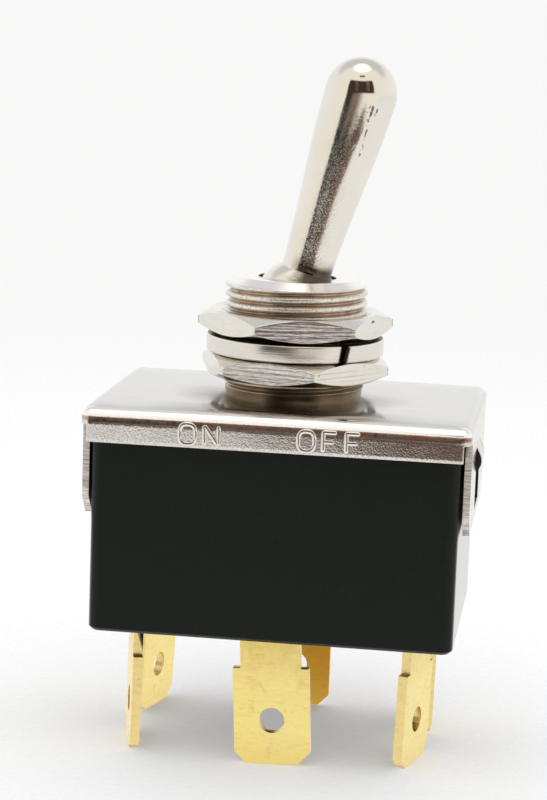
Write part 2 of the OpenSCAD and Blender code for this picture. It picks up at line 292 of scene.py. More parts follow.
def cover_metal():
    m = Mat("nickel_sheet")
    x, y, z = m.sep()[:3]
    low = m.maprange(z, 0.02900, 0.02860, 0.0, 1.0)          # 1 on the flanges and ears, 0 on the top
    col = m.mix(m.noise(260, 4), (0.62, 0.61, 0.59), (0.70, 0.69, 0.67))
    col = m.mix(low, col, (0.765, 0.735, 0.69))
    stain = m.ramp(m.noise(420, 5, 0.65, distortion=0.5), [(0.50, 0.0), (0.78, 0.30)])
    col = m.mix(stain, col, (0.52, 0.47, 0.42))
    # painted shade and dark reflection on the top close round the bushing, deepest in front of it
    c = m.node("ShaderNodeVectorMath", {0: m.co, 1: (1, 1, 0)}, operation="MULTIPLY").outputs[0]
    r = m.node("ShaderNodeVectorMath", {0: c}, operation="LENGTH").outputs[1]
    ring = m.math("MULTIPLY", m.maprange(r, 0.0104, 0.0072, 0.0, 0.95), m.math("SUBTRACT", 1.0, low))
    ring = m.math("MULTIPLY", ring, m.maprange(y, 0.001, -0.004, 0.15, 1.0))
    ex = m.math("MULTIPLY", m.math("SUBTRACT", x, 0.0004), 1 / 0.0120)
    ey = m.math("MULTIPLY", m.math("ADD", y, 0.0094), 1 / 0.0030)
    painted_front_shade = m.math("SQRT", m.math("ADD", m.math("MULTIPLY", ex, ex), m.math("MULTIPLY", ey, ey)))
    painted_front_shade = m.math("MULTIPLY", m.maprange(painted_front_shade, 1.0, 0.30, 0.0, 0.78), m.math("SUBTRACT", 1.0, low))
    ring = m.math("MAXIMUM", ring, painted_front_shade)
    col = m.mix(m.math("MULTIPLY", ring, m.ramp(m.noise(500, 4, 0.7), [(0.25, 0.7), (0.7, 1.0)])), col, (0.17, 0.128, 0.082))
    # painted highlight along the front and back bends
    painted_bend_highlight = m.math("MULTIPLY", m.maprange(m.math("ABSOLUTE", y), 0.01030, 0.01075, 0.0, 1.0), m.maprange(z, 0.02874, 0.02882, 0.0, 1.0))
    col = m.mix(painted_bend_highlight, col, (0.975, 0.955, 0.925))
    # a dull red band painted along the front bend, a painted reflection
    bend = m.math("MULTIPLY", m.maprange(z, 0.02838, 0.02852, 0.0, 1.0), m.maprange(z, 0.02884, 0.02870, 0.0, 1.0))
    bend = m.math("MULTIPLY", bend, m.maprange(y, -0.01085, -0.01100, 0.0, 1.0))
    bend = m.math("MULTIPLY", bend, m.maprange(x, -0.0118, -0.0060, 0.60, 1.0))
    bend = m.math("MULTIPLY", bend, m.ramp(m.noise(1300, 4, 0.7), [(0.35, 0.30), (0.58, 1.0)]))
    col = m.mix(bend, col, (0.38, 0.115, 0.070))
    grain = m.noise(7200, 1, 0.5)
    col = m.mix(m.math("MULTIPLY", low, m.ramp(grain, [(0.45, 0.0), (0.60, 0.36)])), col, (0.36, 0.29, 0.25))
    rgh = m.math("ADD", m.maprange(m.noise(800, 4), 0.3, 0.7, 0.07, 0.11), m.math("MULTIPLY", low, 0.03))
    rgh = m.math("ADD", rgh, m.math("MULTIPLY", ring, 0.10))
    rgh = m.math("ADD", rgh, m.math("MULTIPLY", bend, 0.40))
    h = m.bump(grain, m.math("ADD", m.math("MULTIPLY", low, 0.60), 0.04), 0.008)
    h = m.bump(m.noise(2600, 2, 0.5), m.math("ADD", m.math("MULTIPLY", low, 0.22), 0.04), 0.012, h)
    h = m.bump(m.noise(170, 1, 0.4), 0.16, 0.25, h)
    m.set(Base_Color=col, Metallic=1.0, Roughness=rgh, Normal=h)
    return m


M["sheet"] = cover_metal()
M["mark"] = metal("nickel_mark", (0.76, 0.73, 0.68), (0.88, 0.86, 0.82), (0.10, 0.18), grain=0.35, grain_size=5200, orange=0.10)


def sheared_edge():
    """Cut edge of the sheet: fine tear lines across its thickness."""
    m = Mat("nickel_cut_edge")
    x, y, z = m.sep()[:3]
    lines = m.noise(1.0, 4, 0.7, co=m.mapped((500, 500, 8500)))
    col = m.mix(m.ramp(lines, [(0.44, 0.0), (0.62, 0.9)]), (0.82, 0.78, 0.73), (0.36, 0.30, 0.27))
    # the walls of the two windows get near-black painted shade
    ay = m.math("ABSOLUTE", y)
    win = m.math("MULTIPLY", m.math("MULTIPLY", m.math("GREATER_THAN", ay, 0.0024), m.math("LESS_THAN", ay, 0.0029)),
                 m.math("MULTIPLY", m.math("GREATER_THAN", z, 0.0209), m.math("LESS_THAN", z, 0.0268)))
    col = m.mix(m.math("MULTIPLY", win, 0.97), col, (0.02, 0.018, 0.017))
    m.set(Base_Color=col, Metallic=1.0, Roughness=m.maprange(lines, 0.3, 0.7, 0.24, 0.42), Normal=m.bump(lines, 0.7, 0.04))
    return m


M["edge"] = sheared_edge()


def turned_metal():
    """Turned and threaded barrel: fine tool lines round it, darker brown down in the thread."""
    m = Mat("nickel_turned")
    c = m.node("ShaderNodeVectorMath", {0: m.co, 1: (1, 1, 0)}, operation="MULTIPLY").outputs[0]
    r = m.node("ShaderNodeVectorMath", {0: c}, operation="LENGTH").outputs[1]
    z = m.sep()[2]
    v = m.node("ShaderNodeCombineXYZ", {0: r, 1: z, 2: 0.0}).outputs[0]
    lines = m.noise(1.0, 3, 0.6, co=m.mapped((7000, 9000, 1), co=v))
    col = m.mix(m.noise(300, 4), (0.86, 0.83, 0.78), (0.93, 0.91, 0.87))
    # the top end is painted lighter, a painted highlight
    col = m.mix(m.math("GREATER_THAN", z, 0.03905), col, (0.97, 0.955, 0.92))
    deep = m.maprange(r, 0.00578, 0.00562, 0.0, 1.0)
    zone = m.math("MULTIPLY", m.math("GREATER_THAN", r, 0.0052), m.math("LESS_THAN", z, 0.03885))
    root_dark = m.math("MULTIPLY", m.math("MULTIPLY", deep, zone), m.ramp(m.noise(900, 4, 0.7), [(0.25, 0.5), (0.7, 1.0)]))
    col = m.mix(m.math("MULTIPLY", m.ramp(m.noise(1.0, 4, 0.7, co=m.mapped((2500, 5200, 1), co=v)), [(0.44, 0.0), (0.62, 0.45)]), m.math("ADD", m.math("MULTIPLY", m.math("LESS_THAN", z, 0.03905), 0.7), 0.3)), col, (0.56, 0.47, 0.37))
    col = m.mix(root_dark, col, (0.36, 0.235, 0.135))
    speck = m.math("MULTIPLY", m.math("GREATER_THAN", r, 0.0056), m.ramp(m.noise(6200, 2, 0.65), [(0.50, 0.0), (0.62, 0.55)]))
    speck = m.math("MULTIPLY", speck, m.math("LESS_THAN", z, 0.03900))
    col = m.mix(speck, col, (0.38, 0.30, 0.20))
    # painted shade on the neck under the lower nut
    blot = m.noise(700, 4, 0.7)
    low = m.math("MULTIPLY", m.maprange(z, 0.03115, 0.0309, 0.0, 1.0), m.ramp(blot, [(0.25, 0.80), (0.7, 1.0)]))
    col = m.mix(low, col, (0.34, 0.27, 0.175))
    # near-black painted shade down in the bore
    lip = m.math("LESS_THAN", r, 0.00327)
    wall = m.math("MULTIPLY", m.math("LESS_THAN", r, 0.00385), m.math("LESS_THAN", z, 0.03953))
    bore = m.math("MULTIPLY", m.math("MAXIMUM", lip, wall), m.math("GREATER_THAN", z, 0.0345))
    col = m.mix(m.math("MULTIPLY", bore, 0.94), col, (0.035, 0.026, 0.020))
    h = m.bump(lines, 0.30, 0.012)
    h = m.bump(m.noise(2600, 2), 0.15, 0.01, h)
    barrel = m.math("MULTIPLY", m.math("GREATER_THAN", r, 0.0052), m.math("LESS_THAN", z, 0.0390))
    rgh = m.math("ADD", m.maprange(m.noise(900, 4), 0.3, 0.7, 0.13, 0.22), m.math("MULTIPLY", barrel, 0.14))
    m.set(Base_Color=col, Metallic=1.0, Roughness=rgh, Normal=h)
    return m


M["turned"] = turned_metal()


def nut_metal():
    m = metal("nickel_nut", (0.77, 0.735, 0.67), (0.86, 0.835, 0.785), (0.10, 0.17), grain=0.2, orange=0.10, pits=0.45,
              tarnish=(0.58, 0.51, 0.44), tarnish_amt=0.25)
    # one dark pit near a corner of the upper nut
    x, y, z = m.sep()[:3]
    dx = m.math("SUBTRACT", x, 0.00672)
    dz = m.math("SUBTRACT", z, 0.03642)
    d = m.math("SQRT", m.math("ADD", m.math("MULTIPLY", dx, dx), m.math("MULTIPLY", dz, dz)))
    dot = m.math("MULTIPLY", m.maprange(d, 0.00012, 0.00007, 0.0, 1.0), m.math("LESS_THAN", y, 0.0))
    old = m.b.inputs["Base Color"].links[0].from_socket
    m.set(Base_Color=m.mix(dot, old, (0.03, 0.02, 0.015)))
    return m


M["nut"] = nut_metal()


def milled(name, dark, amount, bump):
    m = Mat(name)
    lines = m.noise(1.0, 4, 0.75, co=m.mapped((170, 170, 5600)))
    fine = m.noise(1.0, 3, 0.6, co=m.mapped((500, 500, 9000)))
    col = m.mix(m.ramp(lines, [(0.47, 0.0), (0.53, amount)]), (0.90, 0.87, 0.83), dark)
    h = m.bump(lines, bump, 0.07)
    h = m.bump(fine, 0.5 * bump, 0.02, h)
    m.set(Base_Color=col, Metallic=1.0, Roughness=m.maprange(fine, 0.3, 0.7, 0.16, 0.26), Normal=h)
    return m


M["milled_dark"] = milled("nickel_milled_dark", (0.21, 0.165, 0.15), 0.84, 1.0)
M["milled"] = milled("nickel_milled", (0.72, 0.66, 0.59), 0.55, 0.5)


def grimy(name, lo=(0.10, 0.080, 0.060), hi=(0.22, 0.18, 0.14)):
    """Faces that sit in the gaps: painted shade, a dull dark brown over the plating."""
    m = Mat(name)
    n1 = m.noise(600, 4, 0.6)
    col = m.mix(n1, lo, hi)
    m.set(Base_Color=col, Metallic=1.0, Roughness=m.maprange(n1, 0.3, 0.7, 0.30, 0.45), Normal=m.bump(m.noise(2400, 3), 0.3, 0.01))
    return m


M["grimy"] = grimy("nickel_grimy")
# near-black painted shade for the tongues' sheared sides
M["soot"] = grimy("nickel_painted_dark_side", (0.022, 0.018, 0.018), (0.060, 0.048, 0.045))


def brushed_ring(name, z0):
    """Flat spring washer, brushed along its length."""
    m = Mat(name)
    c = m.node("ShaderNodeVectorMath", {0: m.co, 1: (1, 1, 0)}, operation="MULTIPLY").outputs[0]
    r = m.node("ShaderNodeVectorMath", {0: c}, operation="LENGTH").outputs[1]
    x, y, z = m.sep()[:3]
    v = m.node("ShaderNodeCombineXYZ", {0: r, 1: z, 2: m.math("MULTIPLY", m.math("ARCTAN2", y, x), 0.0016)}).outputs[0]
    lines = m.noise(1.0, 3, 0.6, co=m.mapped((9000, 9000, 260), co=v))
    col = m.mix(lines, (0.72, 0.675, 0.61), (0.86, 0.835, 0.79))
    m.set(Base_Color=col, Metallic=1.0, Roughness=m.maprange(lines, 0.3, 0.7, 0.18, 0.30),
          Normal=m.bump(lines, 0.45, 0.02))
    return m


M["washer"] = brushed_ring("nickel_brushed", WASH_Z)


def phenolic():
    m = Mat("phenolic_black")
    n1 = m.noise(420, 4, 0.6)
    speck = m.noise(5200, 2, 0.5)
    col = m.mix(n1, (0.0040, 0.0062, 0.0041), (0.0062, 0.0088, 0.0064))
    col = m.mix(m.ramp(speck, [(0.60, 0.0), (0.75, 0.5)]), col, (0.016, 0.018, 0.016))
    h = m.bump(m.noise(3400, 3, 0.6), 0.30, 0.010)
    h = m.bump(m.noise(160, 2, 0.4), 0.08, 0.25, h)
    # moulded skin: a glossier sheen at glancing angles
    lw = m.node("ShaderNodeLayerWeight", {"Blend": 0.5}).outputs["Facing"]
    m.set(Base_Color=col, Roughness=m.maprange(n1, 0.3, 0.7, 0.36, 0.46), Normal=h,
          Coat_Weight=m.math("MULTIPLY", m.ramp(lw, [(0.45, 0.0), (0.78, 1.0)]), m.maprange(m.sep()[2], 0.0208, 0.0200, 0.0, 1.0)))
    m.b.inputs["IOR"].default_value = 1.27
    m.b.inputs["Coat Roughness"].default_value = 0.12
    m.b.inputs["Coat IOR"].default_value = 1.75
    return m


M["phenolic"] = phenolic()


def brass(name, lo, hi, rough, dirt=0.3):
    m = Mat(name)
    n1 = m.noise(330, 4, 0.6)
    col = m.mix(n1, lo, hi)
    # a little deeper in colour towards the tip
    col = m.mix(m.maprange(m.sep()[2], 0.0030, 0.0, 0.0, 0.35), col, (0.74, 0.47, 0.10))
    # painted shade, darker and duller close under the case
    shade = m.math("MULTIPLY", m.maprange(m.sep()[2], 0.0066, 0.0112, 0.0, 0.60), m.ramp(m.noise(900, 4, 0.7), [(0.30, 0.35), (0.65, 1.0)]))
    col = m.mix(shade, col, (0.60, 0.37, 0.09))
    # fine slanting rub marks and small clouds of tarnish
    rub = m.noise(1.0, 4, 0.65, co=m.mapped((900, 900, 5200), rot=(0.0, math.radians(38), 0.0)))
    rub2 = m.noise(1.0, 4, 0.65, co=m.mapped((5600, 5600, 700), rot=(0.0, math.radians(-20), 0.0)))
    col = m.mix(m.ramp(rub, [(0.50, 0.0), (0.72, 0.30)]), col, tuple(0.70 * c for c in lo))
    blot = m.noise(700, 5, 0.7, distortion=0.8)
    col = m.mix(m.ramp(blot, [(0.56, 0.0), (0.78, dirt)]), col, (0.36, 0.20, 0.06))
    h = m.bump(rub, 0.22, 0.012)
    h = m.bump(rub2, 0.16, 0.010, h)
    h = m.bump(m.noise(2400, 2), 0.15, 0.01, h)
    m.set(Base_Color=col, Metallic=1.0, Roughness=m.maprange(n1, 0.3, 0.7, rough[0], rough[1]), Normal=h)
    return m


M["blade"] = brass("brass_blade", (0.93, 0.735, 0.22), (0.98, 0.83, 0.36), (0.22, 0.32), 0.35)


def blade_edge():
    m = Mat("brass_cut_edge")
    lines = m.noise(1.0, 3, 0.6, co=m.mapped((1400, 1400, 2600)))
    blot = m.noise(420, 4, 0.7, distortion=0.6)
    col = m.mix(m.ramp(lines, [(0.50, 0.0), (0.75, 0.35)]), (0.86, 0.67, 0.29), (0.66, 0.43, 0.14))
    col = m.mix(m.ramp(blot, [(0.64, 0.0), (0.74, 0.75)]), col, (0.20, 0.10, 0.04))
    m.set(Base_Color=col, Metallic=1.0, Roughness=m.maprange(lines, 0.3, 0.7, 0.24, 0.36), Normal=m.bump(lines, 0.25, 0.02))
    return m


M["blade_edge"] = blade_edge()
# the back centre blade is painted darker, painted shade between the other blades
M["blade_dull"] = brass("brass_blade_dull", (0.42, 0.215, 0.022), (0.52, 0.29, 0.042), (0.22, 0.32), 0.45)
M["brass_plain"] = brass("brass_plain", (0.70, 0.47, 0.17), (0.80, 0.57, 0.24), (0.28, 0.42))


def silver():
    m = metal("silver_contact", (0.84, 0.84, 0.82), (0.93, 0.93, 0.91), (0.2, 0.34), grain=0.4,
              tarnish=(0.45, 0.40, 0.34), tarnish_amt=0.5)
    return m


M["silver"] = silver()
M["steel"] = metal("spring_steel", (0.50, 0.50, 0.51), (0.62, 0.62, 0.63), (0.18, 0.32), grain=0.25)


def nylon():
    m = Mat("nylon_natural")
    n1 = m.noise(300, 3)
    col = m.mix(n1, (0.70, 0.67, 0.58), (0.78, 0.755, 0.67))
    m.set(Base_Color=col, Roughness=m.maprange(n1, 0.3, 0.7, 0.38, 0.52), Normal=m.bump(m.noise(2600, 3), 0.2, 0.015))
    m.b.inputs["Subsurface Weight"].default_value = 0.08
    m.b.inputs["Subsurface Scale"].default_value = 0.0008
    return m


M["nylon"] = nylon()


def fibre():
    m = Mat("vulcanised_fibre")
    n1 = m.noise(1.0, 5, 0.65, co=m.mapped((900, 2600, 2600)))
    col = m.mix(n1, (0.16, 0.075, 0.04), (0.28, 0.15, 0.085))
    m.set(Base_Color=col, Roughness=m.maprange(n1, 0.3, 0.7, 0.6, 0.8), Normal=m.bump(n1, 0.4, 0.03))
    return m


M["fibre"] = fibre()


# ================================================================ mesh helpers
def new_object(name, verts_mm, faces, mats, face_mat=None, smooth=True, weighted=True, recalc=True):
    me = bpy.data.meshes.new(name)
    bm = bmesh.new()
    vs = [bm.verts.new((v[0] * S, v[1] * S, v[2] * S)) for v in verts_mm]
    for i, f in enumerate(faces):
        try:
            fc = bm.faces.new([vs[k] for k in f])
        except ValueError:
            continue
        if face_mat is not None:
            fc.material_index = int(face_mat[i])
    bmesh.ops.remove_doubles(bm, verts=bm.verts, dist=1e-7)
    if recalc:
        bmesh.ops.recalc_face_normals(bm, faces=bm.faces)
    for f in bm.faces:
        f.smooth = smooth
    bm.to_mesh(me)
    bm.free()
    for m in mats:
        me.materials.append(m.m)
    o = bpy.data.objects.new(name, me)
    bpy.context.scene.collection.objects.link(o)
    if weighted:
        w = o.modifiers.new("normals", "WEIGHTED_NORMAL")
        w.mode = "FACE_AREA"
        w.weight = 50
        w.keep_sharp = True
    return o


def quads(nr, nc, close_r=False, close_c=True, off=0):
    rows = nr if close_r else nr - 1
    cols = nc if close_c else nc - 1
    i = np.arange(rows)[:, None]
    j = np.arange(cols)[None, :]
    i2, j2 = (i + 1) % nr, (j + 1) % nc
    f = np.stack([i * nc + j, i * nc + j2, i2 * nc + j2, i2 * nc + j], -1).reshape(-1, 4) + off
    return [tuple(int(k) for k in q) for q in f]


def arc(cx, cz, r, a0, a1, n):
    """n+1 points on an arc in the (r, z) plane, angles in degrees."""
    return [(cx + r * math.cos(math.radians(a0 + (a1 - a0) * k / n)), cz + r * math.sin(math.radians(a0 + (a1 - a0) * k / n)))
            for k in range(n + 1)]


def fillet(poly, radii, n=4, closed=True):
    """Rounds the corners of a polyline of (r, z) points; radii holds one radius for each corner."""
    out = []
    m = len(poly)
    for k in range(m):
        p = np.array(poly[k], float)
        rad = radii[k] if isinstance(radii, (list, tuple)) else radii
        if rad <= 0 or (not closed and k in (0, m - 1)):
            out.append(tuple(p))
            continue
        a, b = np.array(poly[k - 1], float) - p, np.array(poly[(k + 1) % m], float) - p
        la, lb = np.linalg.norm(a), np.linalg.norm(b)
        a, b = a / la, b / lb
        cosang = float(np.clip(a @ b, -1, 1))
        ang = math.acos(cosang)
        if ang > PI - 0.02:
            out.append(tuple(p))
            continue
        d = min(rad / math.tan(ang / 2), 0.48 * la, 0.48 * lb)
        r = d * math.tan(ang / 2)
        bis = a + b
        bis /= np.linalg.norm(bis)
        c = p + bis * (r / math.sin(ang / 2))
        s0, s1 = p + a * d - c, p + b * d - c
        t0, t1 = math.atan2(s0[1], s0[0]), math.atan2(s1[1], s1[0])
        dt = (t1 - t0 + PI) % (2 * PI) - PI
        for q in range(n + 1):
            t = t0 + dt * q / n
            out.append((c[0] + r * math.cos(t), c[1] + r * math.sin(t)))
    return out


def lathe(name, prof, nseg, mats, closed=False, place=None, weighted=True):
    """Turned piece. prof: (r, z) points; r == 0 at an end makes a pole."""
    prof = list(prof)
    V, F = [], []
    start_pole = (not closed) and prof[0][0] == 0
    end_pole = (not closed) and prof[-1][0] == 0
    rows = prof[(1 if start_pole else 0):(len(prof) - 1 if end_pole else len(prof))]
    th = np.arange(nseg) * 2 * PI / nseg
    for r, z in rows:
        for t in th:
            V.append((r * math.cos(t), r * math.sin(t), z))
    F += quads(len(rows), nseg, close_r=closed)
    if start_pole:
        V.append((0, 0, prof[0][1]))
        k = len(V) - 1
        F += [(k, (j + 1) % nseg, j) for j in range(nseg)]
    if end_pole:
        V.append((0, 0, prof[-1][1]))
        k = len(V) - 1
        b = (len(rows) - 1) * nseg
        F += [(k, b + j, b + (j + 1) % nseg) for j in range(nseg)]
    if place is not None:
        V = [tuple(place @ Vector(v)) for v in V]
    return new_object(name, V, F, mats, weighted=weighted)


def tube(path, rad, nsec=14, closed=False, caps=True):
    """Round wire along a path of points; returns vertices and faces."""
    P = np.array(path, float)
    n = len(P)
    T = np.gradient(P, axis=0)
    T /= np.linalg.norm(T, axis=1)[:, None]
    up = np.array([0, 0, 1.0]) if abs(T[0][2]) < 0.9 else np.array([1.0, 0, 0])
    N = np.cross(up, T[0]); N /= np.linalg.norm(N)
    V = []
    for k in range(n):
        N = N - T[k] * (N @ T[k]); N /= np.linalg.norm(N)
        B = np.cross(T[k], N)
        for q in range(nsec):
            a = 2 * PI * q / nsec
            V.append(P[k] + rad * (math.cos(a) * N + math.sin(a) * B))
    F = quads(n, nsec)
    if caps:
        V.append(P[0]); V.append(P[-1])
        a, b = len(V) - 2, len(V) - 1
        F += [(a, (j + 1) % nsec, j) for j in range(nsec)]
        F += [(b, (n - 1) * nsec + j, (n - 1) * nsec + (j + 1) % nsec) for j in range(nsec)]
    return V, F


def box_object(lo, hi):
    me = bpy.data.meshes.new("tool")
    bm = bmesh.new()
    bmesh.ops.create_cube(bm, size=1.0)
    for v in bm.verts:
        v.co = Vector([(lo[k] + hi[k]) / 2 + v.co[k] * (hi[k] - lo[k]) for k in range(3)]) * S
    bm.to_mesh(me)
    bm.free()
    o = bpy.data.objects.new("tool", me)
    bpy.context.scene.collection.objects.link(o)
    return o


def rod_object(r, a, b, nseg=40):
    """Plain cylinder between points a and b (mm), for cutting."""
    a, b = Vector(a), Vector(b)
    rot = (b - a).to_track_quat("Z", "Y").to_matrix().to_4x4()
    me = bpy.data.meshes.new("tool")
    bm = bmesh.new()
    bmesh.ops.create_cone(bm, cap_ends=True, segments=nseg, radius1=r, radius2=r, depth=(b - a).length)
    bmesh.ops.transform(bm, matrix=Matrix.Scale(S, 4) @ Matrix.Translation((a + b) / 2) @ rot, verts=bm.verts)
    bm.to_mesh(me)
    bm.free()
    o = bpy.data.objects.new("tool", me)
    bpy.context.scene.collection.objects.link(o)
    return o


def apply_modifiers(o):
    dg = bpy.context.evaluated_depsgraph_get()
    dg.update()
    me = bpy.data.meshes.new_from_object(o.evaluated_get(dg))
    o.modifiers.clear()
    old = o.data
    o.data = me
    bpy.data.meshes.remove(old)


def cut(o, *tools):
    """Boolean difference with each tool, applied; the tools are removed."""
    keep = [m for m in o.modifiers]
    for m in keep:
        o.modifiers.remove(m)
    for t in tools:
        b = o.modifiers.new("cut", "BOOLEAN")
        b.operation = "DIFFERENCE"
        b.solver = "EXACT"
        b.object = t
        apply_modifiers(o)
        bpy.data.objects.remove(t)
    w = o.modifiers.new("normals", "WEIGHTED_NORMAL")
    w.mode = "FACE_AREA"
    w.keep_sharp = True
    return o


def refined(node, mats, width=0.06, segments=2, angle=32, name=None, dissolve=0.5, pick=None):
    """A CAD piece with its sharp edges broken: the mesh is welded, its flats joined, and its edges rounded."""
    src = NODES[node]
    me = src.data.copy()
    bm = bmesh.new()
    bm.from_mesh(me)
    bmesh.ops.remove_doubles(bm, verts=bm.verts, dist=2e-6)
    bmesh.ops.dissolve_limit(bm, angle_limit=math.radians(dissolve), use_dissolve_boundaries=False,
                             verts=bm.verts, edges=bm.edges)
    bm.edges.ensure_lookup_table()
    es = [e for e in bm.edges if len(e.link_faces) == 2 and e.calc_face_angle(0) > math.radians(angle)]
    if pick is not None:
        es = [e for e in es if pick(e)]
    if es and width:
        bmesh.ops.bevel(bm, geom=es, offset=width * S, offset_type="OFFSET", segments=segments, profile=0.5,
                        affect="EDGES", clamp_overlap=True, miter_outer="ARC", miter_inner="SHARP")
    bmesh.ops.remove_doubles(bm, verts=bm.verts, dist=3e-7)
    bmesh.ops.recalc_face_normals(bm, faces=bm.faces)
    for f in bm.faces:
        f.smooth = True
        f.material_index = 0
    bm.to_mesh(me)
    bm.free()
    me.materials.clear()
    for m in mats:
        me.materials.append(m.m)
    for a in [a.name for a in me.attributes if a.name in ("custom_normal",)]:
        me.attributes.remove(me.attributes[a])
    me.set_sharp_from_angle(angle=math.radians(50))
    o = bpy.data.objects.new((name or node) + "_fine", me)
    bpy.context.scene.collection.objects.link(o)
    w = o.modifiers.new("normals", "WEIGHTED_NORMAL")
    w.mode = "FACE_AREA"
    w.keep_sharp = True
    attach(o, src["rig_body"])
    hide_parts(node)
    return o


def stands_for(o, body, slot, *nodes):
    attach(o, body)
    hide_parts(*nodes)
    return o


# ================================================================ bushing
def bushing():
    nc = 192
    th = np.arange(nc) * 2 * PI / nc
    z0, z1 = COVER_Z + 0.75, RIM_Z - 0.02
    per = 16
    zs = np.arange(z0, z1, PITCH / per)
    depth = 0.38
    crest_front = 39.02                      # height of a crest at the front
    rows = []
    lower = fillet([(4.15, CI - 0.6), (5.0, CI - 0.6), (5.0, COVER_Z), (5.75, COVER_Z), (5.75, z0)],
                   [0, 0.1, 0.05, 0.12, 0], 3, closed=False)
    for r, z in lower[:-1]:
        rows.append(np.stack([np.full(nc, r), np.full(nc, z)], -1))
    for z in zs:
        ph = ((z - crest_front) / PITCH - (th + PI / 2) / (2 * PI)) % 1.0
        t = np.minimum(ph, 1 - ph)
        d = np.clip((t - 0.14) / (0.5 - 0.14 - 0.06), 0, 1)
        d = d * d * (3 - 2 * d) * 0.35 + d * 0.65
        fade = np.clip((z - z0) / 0.45, 0, 1)
        r = THREAD_R - 0.18 * (1 - fade) - depth * d * fade
        top = 4.98 + (RIM_Z - z) * 1.55          # end chamfer
        r = np.minimum(r, top)
        rows.append(np.stack([r, np.full(nc, z)], -1))
    inner = [(4.98, RIM_Z), (3.24, RIM_Z)]
    a1 = math.degrees(math.acos(3.24 / 3.67))
    inner += arc(0, PIVOT_Z, 3.67, a1, 0, 12)
    inner += [(3.67, 33.4), (4.15, 33.4)]
    rim = fillet([(rows[-1][0][0], zs[-1])] + inner + [(4.15, CI - 0.6)], [0, 0.07, 0.10] + [0] * 13 + [0.0, 0.0, 0], 3, closed=False)
    for r, z in rim[1:-1]:
        rows.append(np.stack([np.full(nc, r), np.full(nc, z)], -1))
    R = np.array(rows)
    V = np.stack([R[..., 0] * np.cos(th), R[..., 0] * np.sin(th), R[..., 1]], -1).reshape(-1, 3)
    F = quads(len(rows), nc, close_r=True)
    o = new_object("bushing_threaded", V, F, [M["turned"]])
    tools = [box_object((-0.72, j * 4 - 0.75, 33.2), (0.72, j * 4 + 0.75, PIVOT_Z)) for j in (-1, 1)]
    tools.append(rod_object(0.72, (0, -4.75, PIVOT_Z), (0, 4.75, PIVOT_Z)))
    cut(o, *tools)
    return stands_for(o, "housing", "nickel_turned", "bushing")


# ================================================================ lever
LEVER = Matrix.Translation((0, 0, PIVOT_Z)) @ Matrix.Rotation(LEAN, 4, "Y")


def bat_radius(s):
    ks = [2.6, 4.0, 5.5, 8.5, 12, 15, 17.0, 18.2]
    rs = [2.10, 2.14, 2.22, 2.42, 2.70, 2.90, 2.98, 3.0]
    # smooth monotone curve through the points
    k = np.array(ks); r = np.array(rs)
    m = np.gradient(r, k)
    m[-1] = 0
    i = int(np.clip(np.searchsorted(k, s) - 1, 0, len(k) - 2))
    h = k[i + 1] - k[i]
    t = (s - k[i]) / h
    return float((2 * t**3 - 3 * t**2 + 1) * r[i] + (t**3 - 2 * t**2 + t) * h * m[i]
                 + (-2 * t**3 + 3 * t**2) * r[i + 1] + (t**3 - t**2) * h * m[i + 1])


def lever():
    prof = [(0, -12.4), (1.05, -12.4), (1.2, -12.25), (1.2, -5.2)]
    prof += [(1.2 + 1.2 * k / 4, -5.2 + 5.2 * k / 4 * 0.5) for k in range(1, 3)]
    # ball from underneath up to the neck
    a_low = -50.0
    prof += arc(0, 0, BALL_R, a_low, 53.4, 40)
    # fillet from ball to bat
    s0 = prof[-1]
    b = (bat_radius(3.35), 3.35)
    prof += [(b[0] + 0.035, s0[1] + 0.025), (b[0] + 0.008, s0[1] + 0.06), (b[0], s0[1] + 0.11)]
    prof += [(bat_radius(s), s) for s in np.linspace(3.35, 18.2, 46)]
    prof += arc(0, BAT_L, BAT_R, 0, 90, 22)[1:-1]
    prof += [(0, BAT_L + BAT_R)]
    o = lathe("lever_bat", prof, 112, [M["lever"]], place=LEVER)
    cut(o, rod_object(0.62, (0, -6, PIVOT_Z), (0, 6, PIVOT_Z)))
    return stands_for(o, "lever_assembly", "nickel_bright", "lever")


